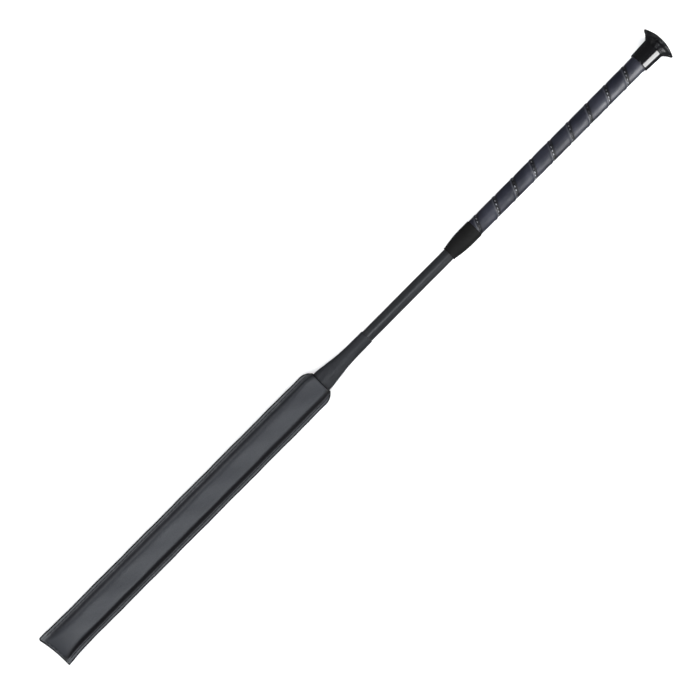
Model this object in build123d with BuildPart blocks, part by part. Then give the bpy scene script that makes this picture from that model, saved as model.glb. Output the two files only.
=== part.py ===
"""A padded riding crop, lying along X with its mushroom cap at +X and its padded flap at -X.

It is built round one tapered glass-fibre rod. From the tip the rod carries a sewn leather pad, a flared
leather neck, a cushioned shaft, a rubber bell, a wrapped grip on a moulded tube, and a two-piece cap.
The origin is under the middle of the crop, level with the lowest point of the cap's rim. Millimetres.
"""

import os

from build123d import *

# Lengths along the crop, from the tip of the pad to the crown of the cap
pad_length = 287.0
neck_length = 48.5
shaft_length = 87.5
bell_length = 27.5
grip_length = 174.5
sleeve_length = 15.7
flare_length = 4.5
dome_height = 4.8

# Fits
glue_gap = 0.05

# Rod and its rubber tip
rod_butt_radius = 3.5
rod_tip_radius = 2.3
rod_setback = 30.0
rod_chamfer = 0.4
tip_cap_wall = 1.2
tip_cap_grip = 11.0
tip_cap_end = 2.5

# Handle tube and grip
tube_wall = 1.65
tube_in_bell = 13.5
cushion_wall = 0.75
cushion_in_bell = 9.0
wrap_wall = 0.8
wrap_in_bell = 8.0
wrap_pitch = 19.65
wrap_first_ridge = 1.6
ridge_height = 0.3
ridge_width = 1.8
seam_land = 0.15
seam_lean = 0.2
channel_width = 2.0
channel_depth = 0.4
grip_thread_radius = 0.3
grip_thread_inset = 0.5
tape_wall = 0.2
tape_width = 5.0
tape_setback = 2.0

# Shaft
padding_wall = 0.65
cover_wall = 0.75
shaft_in_pad = 9.0
whipping_thread_radius = 0.35
whipping_turns = 9
whipping_setback = 1.2

# Bell
bell_nose_wall = 0.55
bell_nose_length = 1.2
bell_lip_wall = 0.5
bell_swell_length = 17.0
bell_lip_round = 0.35

# Neck: how far it stands out beyond the shaft where it leaves the pad, and how it narrows
neck_in_pad = 13.0
neck_leather = 0.45
neck_mouth_spread = 3.4
neck_mouth_rise = 1.4
neck_throat_distance = 13.0
neck_throat_spread = 2.1
neck_waist_distance = 26.0
neck_waist_spread = 1.0
neck_tuck = 0.5
filler_stop = 24.0

# Pad
pad_half_width = 14.3
tip_half_width = 15.3
tip_flare_length = 26.0
tip_hollow = 0.5
tip_corner_round = 1.0
shoulder_length = 9.5
pad_leather = 1.1
pad_margin = 3.5
tip_margin = 4.0
crown_round = 5.0
crown_corner_round = 5.2
mouth_side_clearance = 0.1
cushion_stop = 15.0
mouth_overrun = 20.0

# Stitching on the pad
stitch_pitch = 4.0
stitch_length = 3.0
stitch_width = 0.7
stitch_stand = 0.25
stitch_sink = 0.2
stitch_from_crown = 0.9
stitch_row_end = 5.0
tip_row_from_tip = 2.2

# Cap
sleeve_wall = 0.8
sleeve_ridge_room = 0.1
sleeve_taper = 0.7
sleeve_round = 0.3
cap_radius = 15.1
rim_thickness = 1.2
neck_bead_radius = 0.7
flare_bow = 1.3
spigot_length = 24.0
spigot_chamfer = 0.6
head_seat_depth = 2.2

# Places along X, worked out from the lengths
overall_length = (
    pad_length
    + neck_length
    + shaft_length
    + bell_length
    + grip_length
    + sleeve_length
    + flare_length
    + dome_height
)
tip_x = -overall_length / 2
mouth_x = tip_x + pad_length
neck_end_x = mouth_x + neck_length
bell_x = neck_end_x + shaft_length
bell_mouth_x = bell_x + bell_length
sleeve_x = bell_mouth_x + grip_length
head_x = sleeve_x + sleeve_length
rim_x = head_x + flare_length
crown_x = rim_x + dome_height
tube_x = bell_x + tube_in_bell
tube_end_x = head_x - head_seat_depth - glue_gap
shaft_start_x = mouth_x - shaft_in_pad
rod_tip_x = tip_x + rod_setback
rod_butt_x = head_x - spigot_length - glue_gap

# Radii, worked out from the walls
tube_bore = rod_butt_radius + glue_gap
tube_radius = tube_bore + tube_wall
cushion_bore = tube_radius + glue_gap
cushion_radius = cushion_bore + cushion_wall
wrap_bore = cushion_radius + glue_gap
wrap_radius = wrap_bore + wrap_wall
ridge_radius = wrap_radius + ridge_height
channel_radius = wrap_radius - channel_depth
padding_radius = rod_butt_radius + glue_gap + padding_wall
cover_bore = padding_radius + glue_gap
shaft_radius = cover_bore + cover_wall
shaft_bore = shaft_radius + glue_gap
neck_mouth_half_width = shaft_radius + neck_mouth_spread
neck_mouth_half_height = shaft_radius + neck_mouth_rise
neck_throat_half_width = shaft_radius + neck_throat_spread
neck_waist_half_width = shaft_radius + neck_waist_spread
bell_lip_bore = wrap_radius + glue_gap
bell_radius = bell_lip_bore + bell_lip_wall
sleeve_bore = ridge_radius + sleeve_ridge_room
sleeve_radius = sleeve_bore + sleeve_wall
sleeve_top_radius = sleeve_radius + sleeve_taper
neck_end_radius = shaft_bore + neck_leather
crown_half_width = pad_half_width - pad_margin
mouth_half_width = neck_mouth_half_width + mouth_side_clearance + pad_leather
crown_height = neck_mouth_half_height + mouth_side_clearance + pad_leather

axis_height = cap_radius
axis_plane = Plane(origin=(0, 0, axis_height), x_dir=(1, 0, 0), z_dir=(0, -1, 0))
pad_plane = Plane.XY.offset(axis_height)
crop_axis = Axis((0, 0, axis_height), (1, 0, 0))


def rod_radius(x):
    """The rod is parallel in the handle and tapers evenly from the bell to its tip."""
    if x >= bell_x:
        return rod_butt_radius
    share = (x - rod_tip_x) / (bell_x - rod_tip_x)
    return rod_tip_radius + share * (rod_butt_radius - rod_tip_radius)


def cross_plane(x):
    """A plane square to the crop at x, with its own x along Y and its own y along Z."""
    return Plane(origin=(x, 0, axis_height), x_dir=(0, 1, 0), z_dir=(1, 0, 0))


def save(piece, name):
    """Labels a finished piece and writes it as one STEP file."""
    piece.part.label = name
    export_step(piece.part, f"parts/{name}.step")


def make_core_rod():
    with BuildPart() as rod:
        with BuildSketch(axis_plane):
            with BuildLine():
                Polyline(
                    (rod_tip_x, 0),
                    (rod_tip_x, rod_tip_radius - rod_chamfer),
                    (rod_tip_x + rod_chamfer, rod_radius(rod_tip_x + rod_chamfer)),
                    (bell_x, rod_butt_radius),
                    (rod_butt_x - rod_chamfer, rod_butt_radius),
                    (rod_butt_x, rod_butt_radius - rod_chamfer),
                    (rod_butt_x, 0),
                    close=True,
                )
            make_face()
        revolve(axis=crop_axis)
    return rod


tip_cap_radius = rod_radius(rod_tip_x + tip_cap_grip) + glue_gap + tip_cap_wall
tip_cap_x = rod_tip_x - tip_cap_end


def make_rod_tip_cap():
    """A soft cap pushed over the rod's tip, so that the rod can't work through the pad."""
    bore_start = rod_radius(rod_tip_x) + glue_gap
    bore_mouth = rod_radius(rod_tip_x + tip_cap_grip) + glue_gap
    with BuildPart() as cap:
        with BuildSketch(axis_plane):
            with BuildLine():
                Polyline(
                    (rod_tip_x - glue_gap, 0),
                    (tip_cap_x, 0),
                    (tip_cap_x, tip_cap_radius),
                    (rod_tip_x + tip_cap_grip, tip_cap_radius),
                    (rod_tip_x + tip_cap_grip, bore_mouth),
                    (rod_tip_x - glue_gap, bore_start),
                    close=True,
                )
            make_face()
        revolve(axis=crop_axis)
        nose = cap.edges().filter_by(GeomType.CIRCLE).group_by(Axis.X)[0]
        fillet(nose, tip_cap_wall)
    return cap


def make_tube(start, end, bore, radius):
    """A plain sleeve round the crop's axis."""
    with BuildPart() as tube:
        with BuildSketch(cross_plane(start)):
            Circle(radius)
            Circle(bore, mode=Mode.SUBTRACT)
        extrude(amount=end - start)
    return tube


def make_shaft_padding():
    """The foam sleeve on the shaft, whose bore follows the rod's taper."""
    end = tube_x - glue_gap
    with BuildPart() as padding:
        with BuildSketch(axis_plane):
            with BuildLine():
                Polyline(
                    (shaft_start_x, rod_radius(shaft_start_x) + glue_gap),
                    (shaft_start_x, padding_radius),
                    (end, padding_radius),
                    (end, rod_butt_radius + glue_gap),
                    (bell_x, rod_butt_radius + glue_gap),
                    close=True,
                )
            make_face()
        revolve(axis=crop_axis)
    return padding


def make_cover_whipping():
    """Waxed thread wound tight round the end of the shaft cover, inside the neck."""
    pitch = 2 * whipping_thread_radius + glue_gap
    winding_radius = shaft_bore + whipping_thread_radius
    start = shaft_start_x + whipping_setback + whipping_thread_radius
    with BuildPart() as whipping:
        with BuildLine():
            winding = Helix(
                pitch,
                pitch * whipping_turns,
                winding_radius,
                center=(start, 0, axis_height),
                direction=(1, 0, 0),
            )
        with BuildSketch(Plane(origin=winding @ 0, z_dir=winding % 0)):
            Circle(whipping_thread_radius)
        sweep(is_frenet=True)
    return whipping


wrap_start_x = bell_mouth_x - wrap_in_bell
wrap_end_x = head_x - head_seat_depth - tape_setback

# The strip's seam: a ridge where one turn laps over the last, and a stitched channel on its cap side
ridge_half = ridge_width / 2
channel_start = ridge_half + seam_land
channel_middle = channel_start + channel_width / 2
crest_start_x = bell_mouth_x + ridge_half + glue_gap
crest_end_x = wrap_end_x - tape_width - channel_start - channel_width - glue_gap


def crest_turn(x):
    """How far round the crop the ridge has gone at x, in degrees from its first crossing of the top."""
    return 360 * (x - bell_mouth_x - wrap_first_ridge) / wrap_pitch


def wind_seam(section):
    """Winds a section along the seam. Its points are (offset along X from the crest, radius)."""
    with BuildPart() as seam:
        with BuildLine():
            winding = Helix(
                wrap_pitch,
                crest_end_x - crest_start_x,
                wrap_radius,
                center=(crest_start_x, 0, axis_height),
                direction=(1, 0, 0),
                lefthand=True,
            )
        with BuildSketch(axis_plane):
            with BuildLine():
                Polyline(*[(crest_start_x + x, radius) for x, radius in section], close=True)
            make_face()
        sweep(is_frenet=True)
    return seam.part.rotate(crop_axis, -crest_turn(crest_start_x))


def make_grip_wrap():
    """A strip wound round the cushion, and the rolled edge that lies on it from turn to turn. The
    strip's ends are pressed flat under the bell and under the tape."""
    channel = wind_seam(
        [
            (channel_start, channel_radius),
            (channel_start - seam_lean, wrap_radius + wrap_wall),
            (channel_start + channel_width + seam_lean, wrap_radius + wrap_wall),
            (channel_start + channel_width, channel_radius),
        ]
    )
    ridge = wind_seam(
        [
            (-ridge_half, wrap_radius + glue_gap),
            (-ridge_half / 2, ridge_radius),
            (ridge_half / 2, ridge_radius),
            (ridge_half, wrap_radius + glue_gap),
        ]
    )
    with BuildPart() as wrap:
        with BuildSketch(cross_plane(wrap_start_x)):
            Circle(wrap_radius)
            Circle(wrap_bore, mode=Mode.SUBTRACT)
        extrude(amount=wrap_end_x - wrap_start_x)
        add(channel, mode=Mode.SUBTRACT)
        add(ridge)
    return wrap


def make_grip_stitching():
    """The thread that runs in the strip's channel, between the bell and the cap."""
    start_x = crest_start_x + channel_middle + grip_thread_inset
    end_x = crest_end_x + channel_middle - grip_thread_inset
    with BuildPart() as thread:
        with BuildLine():
            winding = Helix(
                wrap_pitch,
                end_x - start_x,
                channel_radius + glue_gap + grip_thread_radius,
                center=(start_x, 0, axis_height),
                direction=(1, 0, 0),
                lefthand=True,
            )
        with BuildSketch(Plane(origin=winding @ 0, z_dir=winding % 0)):
            Circle(grip_thread_radius)
        sweep(is_frenet=True)
    with BuildPart() as placed:
        add(thread.part.rotate(crop_axis, -crest_turn(start_x - channel_middle)))
    return placed


def make_bell_ferrule():
    """A moulded rubber bell that hides the joint of shaft and grip. Its lip grips the end of the strip."""
    nose_radius = shaft_bore + bell_nose_wall
    swell_x = bell_x + bell_swell_length
    with BuildPart() as bell:
        with BuildSketch(axis_plane):
            with BuildLine():
                nose = Polyline(
                    (bell_x, shaft_bore),
                    (bell_x, nose_radius),
                    (bell_x + bell_nose_length, nose_radius),
                )
                swell = JernArc(
                    start=(swell_x, bell_radius),
                    tangent=(-1, 0),
                    radius=(bell_swell_length**2) / 2 / (bell_radius - nose_radius),
                    arc_size=0.1,
                    mode=Mode.PRIVATE,
                )
                TangentArc(
                    (swell_x, bell_radius),
                    nose @ 1,
                    tangent=swell % 0,
                )
                Polyline(
                    (swell_x, bell_radius),
                    (bell_mouth_x - bell_lip_round, bell_radius),
                    (bell_mouth_x, bell_radius - bell_lip_round),
                    (bell_mouth_x, bell_lip_bore),
                    (wrap_start_x - glue_gap, bell_lip_bore),
                    (wrap_start_x - glue_gap, cushion_radius + glue_gap),
                    (bell_mouth_x - cushion_in_bell - glue_gap, cushion_radius + glue_gap),
                    (bell_mouth_x - cushion_in_bell - glue_gap, tube_radius + glue_gap),
                    (tube_x - glue_gap, tube_radius + glue_gap),
                    (tube_x - glue_gap, shaft_bore),
                    (bell_x, shaft_bore),
                )
            make_face()
        revolve(axis=crop_axis)
    return bell


def neck_stations(skin):
    """Half width and half height of the neck at each station, less a skin thickness all round."""
    return [
        (
            mouth_x - neck_in_pad,
            neck_mouth_half_width - neck_tuck - skin,
            neck_mouth_half_height - neck_tuck - skin,
        ),
        (mouth_x, neck_mouth_half_width - skin, neck_mouth_half_height - skin),
        (
            mouth_x + neck_throat_distance,
            neck_throat_half_width - skin,
            (neck_mouth_half_height + neck_end_radius) / 2 - skin,
        ),
        (
            mouth_x + neck_waist_distance,
            neck_waist_half_width - skin,
            neck_end_radius - skin + glue_gap,
        ),
        (neck_end_x, neck_end_radius - skin, neck_end_radius - skin),
    ]


def make_neck(skin):
    """The neck's flared body, lofted through its stations."""
    with BuildPart() as neck:
        for x, half_width, half_height in neck_stations(skin):
            with BuildSketch(cross_plane(x)):
                Ellipse(half_width, half_height)
        loft()
    return neck


def make_neck_cover():
    with BuildPart() as cover:
        add(make_neck(0).part)
        add(make_neck(neck_leather).part, mode=Mode.SUBTRACT)
        with BuildSketch(cross_plane(mouth_x - neck_in_pad)):
            Circle(shaft_bore)
        extrude(amount=neck_in_pad + neck_length, mode=Mode.SUBTRACT)
    return cover


def make_neck_filler():
    """The wedge of rubber under the neck leather, which gives the neck its flare."""
    start = mouth_x - neck_in_pad
    whipping_room = shaft_bore + 2 * (whipping_thread_radius + glue_gap)
    whipping_length = (whipping_turns + 1) * (2 * whipping_thread_radius + glue_gap)
    whipping_end = shaft_start_x + whipping_setback + whipping_length + glue_gap
    with BuildPart() as filler:
        add(make_neck(neck_leather + glue_gap).part)
        with BuildSketch(cross_plane(start)):
            Circle(shaft_bore)
        extrude(amount=neck_in_pad + neck_length, mode=Mode.SUBTRACT)
        with BuildSketch(cross_plane(start)):
            Circle(whipping_room)
        extrude(amount=whipping_end - start, mode=Mode.SUBTRACT)
        split(bisect_by=cross_plane(mouth_x + filler_stop), keep=Keep.BOTTOM)
    return filler


def pad_outline():
    """The pad seen from above: a hollowed, flared tip, parallel sides, and round shoulders at its mouth."""
    with BuildSketch(pad_plane) as outline:
        with BuildLine():
            tip = ThreePointArc(
                (tip_x, -tip_half_width),
                (tip_x + tip_hollow, 0),
                (tip_x, tip_half_width),
            )
            flare = TangentArc(
                (tip_x + tip_flare_length, pad_half_width),
                tip @ 1,
                tangent=(-1, 0),
            )
            side = Line(flare @ 0, (mouth_x - shoulder_length, pad_half_width))
            shoulder = TangentArc(
                side @ 1, (mouth_x, mouth_half_width), tangent=(1, 0)
            )
            Line(shoulder @ 1, (mouth_x, 0))
            Line((mouth_x, 0), (mouth_x, -mouth_half_width))
            low_shoulder = TangentArc(
                (mouth_x - shoulder_length, -pad_half_width),
                (mouth_x, -mouth_half_width),
                tangent=(1, 0),
            )
            low_side = Line(
                low_shoulder @ 0, (tip_x + tip_flare_length, -pad_half_width)
            )
            TangentArc(low_side @ 1, tip @ 0, tangent=(-1, 0))
        make_face()
        tip_corners = outline.vertices().group_by(Axis.X)[0]
        fillet(tip_corners, tip_corner_round)
    return outline


def make_crown(inset):
    """The padded middle of one side of the pad, from the middle plane up, less an inset all round.

    It runs past the mouth, so that its rounded edge is only along the sides and the tip.
    """
    start = tip_x + tip_margin + inset
    end = mouth_x + mouth_overrun
    side_y = crown_half_width - inset
    mouth_y = mouth_half_width - inset
    with BuildPart() as crown:
        with BuildSketch(pad_plane):
            with BuildLine():
                side = Line((start, side_y), (mouth_x - shoulder_length, side_y))
                shoulder = TangentArc(side @ 1, (mouth_x, mouth_y), tangent=(1, 0))
                Line(shoulder @ 1, (end, mouth_y))
                Line((end, mouth_y), (end, 0))
                Line((end, 0), (start, 0))
                Line((start, 0), (start, side_y))
            make_face()
            mirror(about=Plane.XZ)
        extrude(amount=crown_height - inset)
        upright = crown.edges().filter_by(Axis.Z).group_by(Axis.X)[0]
        fillet(upright, crown_corner_round - inset)
        top = crown.faces().sort_by(Axis.Z)[-1]
        rim = top.edges().filter_by(lambda edge: edge.center().X < end - mouth_overrun / 4)
        fillet(rim, crown_round - inset)
        split(bisect_by=cross_plane(mouth_x), keep=Keep.BOTTOM)
    return crown


stitch_row_y = crown_half_width + stitch_from_crown
stitch_room = stitch_width + 2 * glue_gap
row_start_x = tip_x + tip_row_from_tip + stitch_row_end
row_length = mouth_x - shoulder_length - row_start_x
tip_row_length = 2 * stitch_row_y


def make_pad_face():
    """One leather of the pad: a flat margin round a moulded crown, with a sunk line for each stitch row."""
    with BuildPart() as face:
        add(pad_outline().sketch)
        extrude(amount=pad_leather)
        add(make_crown(0).part)
        add(make_crown(pad_leather).part, mode=Mode.SUBTRACT)
        with BuildSketch(pad_plane.offset(pad_leather)):
            with Locations(
                (row_start_x + row_length / 2, stitch_row_y),
                (row_start_x + row_length / 2, -stitch_row_y),
            ):
                Rectangle(row_length, stitch_room)
            with Locations((tip_x + tip_row_from_tip, 0)):
                Rectangle(stitch_room, tip_row_length)
        extrude(amount=-stitch_sink - glue_gap, mode=Mode.SUBTRACT)
    return face


def make_pad_cushion():
    """The foam of one side, grooved for the rod and for the cap on its tip."""
    pocket_end = rod_tip_x + tip_cap_grip + glue_gap
    with BuildPart() as cushion:
        add(make_crown(pad_leather + glue_gap).part)
        split(bisect_by=cross_plane(mouth_x - cushion_stop), keep=Keep.BOTTOM)
        with BuildSketch(axis_plane):
            with BuildLine():
                Polyline(
                    (tip_cap_x - glue_gap, 0),
                    (tip_cap_x - glue_gap, tip_cap_radius + glue_gap),
                    (pocket_end, tip_cap_radius + glue_gap),
                    (pocket_end, rod_radius(pocket_end) + glue_gap),
                    (mouth_x, rod_radius(mouth_x) + glue_gap),
                    (mouth_x, 0),
                    close=True,
                )
            make_face()
        revolve(axis=crop_axis, mode=Mode.SUBTRACT)
    return cushion


def both_sides(piece):
    """A piece made on the front of the pad, with its copy on the back."""
    with BuildPart() as pair:
        add(piece.part)
        add(piece.part.mirror(pad_plane))
    return pair


def turned_over(piece):
    """The copy of a front piece that lies on the back of the pad."""
    with BuildPart() as copy:
        add(piece.part.mirror(pad_plane))
    return copy


def make_side_stitches(side):
    """The stitches of one long edge, on both faces. side is 1 for the left edge and -1 for the right."""
    count = int(row_length / stitch_pitch)
    middle = (row_start_x + row_length / 2, side * stitch_row_y)
    with BuildPart() as row:
        with BuildSketch(pad_plane.offset(pad_leather - stitch_sink)):
            with Locations(middle):
                with GridLocations(stitch_pitch, 1, count, 1):
                    SlotOverall(stitch_length, stitch_width)
        extrude(amount=stitch_sink + stitch_stand)
    return both_sides(row)


def make_tip_stitches():
    """The stitches that close the tip, on both faces."""
    count = int(tip_row_length / stitch_pitch)
    with BuildPart() as row:
        with BuildSketch(pad_plane.offset(pad_leather - stitch_sink)):
            with Locations((tip_x + tip_row_from_tip, 0)):
                with GridLocations(1, stitch_pitch, 1, count):
                    SlotOverall(stitch_length, stitch_width, rotation=90)
        extrude(amount=stitch_sink + stitch_stand)
    return both_sides(row)


def make_cap_sleeve():
    """The ferrule under the mushroom head: a slightly tapered ring over the top of the grip."""
    with BuildPart() as sleeve:
        with BuildSketch(axis_plane):
            with BuildLine():
                Polyline(
                    (sleeve_x, sleeve_bore),
                    (sleeve_x, sleeve_radius),
                    (head_x - glue_gap, sleeve_top_radius),
                    (head_x - glue_gap, sleeve_bore),
                    close=True,
                )
            make_face()
        revolve(axis=crop_axis)
        ends = sleeve.edges().filter_by(GeomType.CIRCLE).sort_by(SortBy.RADIUS)[-2:]
        fillet(ends, sleeve_round)
    return sleeve


def make_cap_head():
    """The mushroom: a spigot glued into the tube, a seat in the sleeve, a beaded flare and a domed crown."""
    seat_radius = sleeve_bore - glue_gap
    seat_x = head_x - head_seat_depth
    bead_x = head_x + 2 * neck_bead_radius
    spigot_x = head_x - spigot_length
    rim_start_x = rim_x - rim_thickness
    with BuildPart() as head:
        with BuildSketch(axis_plane):
            with BuildLine():
                Polyline(
                    (crown_x, 0),
                    (spigot_x, 0),
                    (spigot_x, rod_butt_radius - spigot_chamfer),
                    (spigot_x + spigot_chamfer, rod_butt_radius),
                    (seat_x, rod_butt_radius),
                    (seat_x, seat_radius),
                    (head_x, seat_radius),
                    (head_x, sleeve_top_radius),
                )
                ThreePointArc(
                    (head_x, sleeve_top_radius),
                    (head_x + neck_bead_radius, sleeve_top_radius + neck_bead_radius),
                    (bead_x, sleeve_top_radius),
                )
                flare_middle = (
                    (bead_x + rim_start_x) / 2 + flare_bow / 2,
                    (sleeve_top_radius + cap_radius) / 2 - flare_bow / 2,
                )
                ThreePointArc(
                    (bead_x, sleeve_top_radius),
                    flare_middle,
                    (rim_start_x, cap_radius - rim_thickness / 2),
                )
                ThreePointArc(
                    (rim_start_x, cap_radius - rim_thickness / 2),
                    (rim_x - rim_thickness / 2, cap_radius),
                    (rim_x, cap_radius - rim_thickness / 2),
                )
                JernArc(
                    start=(crown_x, 0),
                    tangent=(0, 1),
                    radius=((cap_radius - rim_thickness / 2) ** 2 + dome_height**2)
                    / (2 * dome_height),
                    arc_size=dome_angle(),
                )
            make_face()
        revolve(axis=crop_axis)
    return head


def dome_angle():
    """The angle, in degrees, that the dome's arc turns through from its crown to the rim."""
    half_chord = cap_radius - rim_thickness / 2
    radius = (half_chord**2 + dome_height**2) / (2 * dome_height)
    return Vector(radius - dome_height, half_chord, 0).get_angle(Vector(1, 0, 0))


os.makedirs("parts", exist_ok=True)

save(make_core_rod(), "core_rod")
save(make_rod_tip_cap(), "rod_tip_cap")
save(make_tube(tube_x, tube_end_x, tube_bore, tube_radius), "handle_tube")
save(
    make_tube(bell_mouth_x - cushion_in_bell, tube_end_x, cushion_bore, cushion_radius),
    "grip_cushion",
)
save(make_grip_wrap(), "grip_wrap")
save(make_grip_stitching(), "grip_stitching")
save(
    make_tube(
        wrap_end_x - tape_width,
        wrap_end_x,
        wrap_radius + glue_gap,
        wrap_radius + glue_gap + tape_wall,
    ),
    "grip_tape",
)
save(make_bell_ferrule(), "bell_ferrule")
save(make_shaft_padding(), "shaft_padding")
save(make_tube(shaft_start_x, tube_x - glue_gap, cover_bore, shaft_radius), "shaft_cover")
save(make_cover_whipping(), "cover_whipping")
save(make_neck_filler(), "neck_filler")
save(make_neck_cover(), "neck_cover")

front_face = make_pad_face()
front_cushion = make_pad_cushion()
save(front_face, "pad_face_front")
save(turned_over(front_face), "pad_face_back")
save(front_cushion, "pad_cushion_front")
save(turned_over(front_cushion), "pad_cushion_back")
save(make_side_stitches(1), "pad_stitching_left")
save(make_side_stitches(-1), "pad_stitching_right")
save(make_tip_stitches(), "pad_stitching_tip")
save(make_cap_sleeve(), "cap_sleeve")
save(make_cap_head(), "cap_head")
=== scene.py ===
"""A padded riding crop: its rod, shaft, neck, pad, bell, grip and cap, laid out in a studio."""

import math

import bpy
import numpy as np
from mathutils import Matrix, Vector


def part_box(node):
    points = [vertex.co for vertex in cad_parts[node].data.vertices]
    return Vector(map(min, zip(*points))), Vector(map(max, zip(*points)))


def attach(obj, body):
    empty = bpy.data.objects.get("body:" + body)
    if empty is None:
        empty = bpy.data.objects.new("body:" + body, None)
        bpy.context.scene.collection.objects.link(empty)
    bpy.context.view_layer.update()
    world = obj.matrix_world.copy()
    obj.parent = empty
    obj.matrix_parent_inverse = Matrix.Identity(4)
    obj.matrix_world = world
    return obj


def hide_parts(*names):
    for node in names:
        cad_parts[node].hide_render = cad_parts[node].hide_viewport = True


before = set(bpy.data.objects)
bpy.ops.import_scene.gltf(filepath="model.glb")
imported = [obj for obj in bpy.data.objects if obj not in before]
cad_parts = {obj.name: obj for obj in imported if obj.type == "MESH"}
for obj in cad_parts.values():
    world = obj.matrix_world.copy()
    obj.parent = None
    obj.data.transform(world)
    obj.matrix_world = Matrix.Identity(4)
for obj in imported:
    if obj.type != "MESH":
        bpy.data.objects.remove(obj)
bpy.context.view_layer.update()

# Core. A pultruded glass-fibre rod is parallel in the handle and tapers towards its tip. A soft
# vinyl cap keeps the tip from working through the pad, a vinyl wedge fills the neck, and a nylon
# tube glued over the butt makes the handle.
mm = 0.001


class Shade:
    """One output of a material's nodes. Arithmetic on it adds Math nodes."""

    def __init__(self, socket):
        self.socket = socket

    @staticmethod
    def node(tree, kind, settings=None, sockets=None, output=0):
        """Adds a node, makes its settings, fills or links its sockets, and gives one output."""
        made = tree.nodes.new("ShaderNode" + kind)
        for name, value in (settings or {}).items():
            setattr(made, name, value)
        for name, value in (sockets or {}).items():
            if isinstance(value, Shade):
                tree.links.new(value.socket, made.inputs[name])
            else:
                made.inputs[name].default_value = value
        return Shade(made.outputs[output])

    def maths(self, operation, first, second):
        return Shade.node(
            self.socket.id_data, "Math", {"operation": operation}, {0: first, 1: second}
        )

    def __add__(self, other):
        return self.maths("ADD", self, other)

    def __radd__(self, other):
        return self.maths("ADD", other, self)

    def __sub__(self, other):
        return self.maths("SUBTRACT", self, other)

    def __rsub__(self, other):
        return self.maths("SUBTRACT", other, self)

    def __mul__(self, other):
        return self.maths("MULTIPLY", self, other)

    def __rmul__(self, other):
        return self.maths("MULTIPLY", other, self)


def place(tree, stretch=(1, 1, 1)):
    """Where a point lies in the piece's own frame, in metres, stretched for a drawn-out pattern."""
    at = Shade.node(tree, "TexCoord", output=3)
    return Shade.node(tree, "VectorMath", {"operation": "MULTIPLY"}, {0: at, 1: stretch})


def mottle(tree, scale, detail=3.0, stretch=(1, 1, 1)):
    """Soft irregular blotches, about one over scale metres across."""
    return Shade.node(
        tree,
        "TexNoise",
        {},
        {"Vector": place(tree, stretch), "Scale": scale, "Detail": detail, "Roughness": 0.55},
    )


def pebble(tree, scale):
    """Rounded grain, about one over scale metres from cell to cell."""
    return Shade.node(
        tree,
        "TexVoronoi",
        {"feature": "SMOOTH_F1"},
        {"Vector": place(tree), "Scale": scale, "Smoothness": 0.6},
    )


def step(tree, value, low, high):
    """Rises smoothly from 0 to 1 as a value goes from low to high."""
    return Shade.node(
        tree,
        "MapRange",
        {"interpolation_type": "SMOOTHSTEP"},
        {"Value": value, "From Min": low, "From Max": high},
    )


def blend(tree, mask, first, second):
    """The first colour where the mask is 0, and the second where it is 1."""
    return Shade.node(
        tree, "Mix", {"data_type": "RGBA"}, {0: mask, 6: first, 7: second}, output=2
    )


def relief(tree, height, distance, strength=1.0):
    """Raises the surface by a height of 0 to 1, times a distance in metres."""
    return Shade.node(
        tree, "Bump", {}, {"Height": height, "Distance": distance, "Strength": strength}
    )


def finish(name, constants, paint):
    """A material. Constants sit on the shader's own sockets, and paint(tree) gives what varies. It
    may also give a mask and the constants of a film that lies over the rest."""
    material = bpy.data.materials.new(name)
    material.use_nodes = True
    tree = material.node_tree
    shader = tree.nodes["Principled BSDF"]
    for socket, value in constants.items():
        shader.inputs[socket].default_value = value
    varying = paint(tree)
    over = varying.pop("over", None)
    for socket, shade in varying.items():
        tree.links.new(shade.socket, shader.inputs[socket])
    if over:
        mask, film = over
        top = Shade.node(tree, "BsdfPrincipled", {}, film)
        both = Shade.node(tree, "MixShader", {}, {0: mask, 1: Shade(shader.outputs[0]), 2: top})
        tree.links.new(both.socket, tree.nodes["Material Output"].inputs["Surface"])
    return material


def coat(node, material):
    """Gives a solid that keeps its shape its finish."""
    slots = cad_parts[node].data.materials
    slots.clear()
    slots.append(material)


def glass_fibre(tree):
    strands = mottle(tree, 60, detail=6, stretch=(1, 60, 60))
    return {
        "Base Color": blend(tree, strands, (0.42, 0.40, 0.30, 1), (0.62, 0.60, 0.50, 1)),
        "Roughness": 0.30 + 0.25 * strands,
        "Normal": relief(tree, strands, 0.05 * mm),
    }


def soft_vinyl(tree):
    bloom = mottle(tree, 400)
    return {
        "Base Color": blend(tree, bloom, (0.020, 0.020, 0.022, 1), (0.036, 0.036, 0.038, 1)),
        "Roughness": 0.50 + 0.20 * bloom,
        "Normal": relief(tree, mottle(tree, 2600), 0.02 * mm),
    }


def moulded_nylon(tree):
    spark = mottle(tree, 3200, detail=2)
    return {
        "Base Color": blend(tree, spark, (0.018, 0.018, 0.018, 1), (0.030, 0.030, 0.030, 1)),
        "Roughness": 0.42 + 0.12 * spark,
        "Normal": relief(tree, spark, 0.03 * mm),
    }


coat("core_rod", finish("glass_fibre", {"Coat Weight": 0.3}, glass_fibre))
vinyl = finish("soft_vinyl", {"Specular IOR Level": 0.4}, soft_vinyl)
coat("rod_tip_cap", vinyl)
coat("neck_filler", vinyl)
coat("handle_tube", finish("moulded_nylon", {}, moulded_nylon))


# Foam and bindings. Closed-cell foam sleeves the shaft and lies under the grip strip. Waxed thread
# whips the end of the shaft's cover, and a band of woven tape holds the strip's last turn.
def closed_foam(tree):
    cells = pebble(tree, 2200)
    return {
        "Base Color": blend(tree, cells, (0.030, 0.030, 0.034, 1), (0.060, 0.060, 0.066, 1)),
        "Roughness": 0.80 + 0.15 * cells,
        "Normal": relief(tree, cells, 0.12 * mm),
    }


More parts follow.
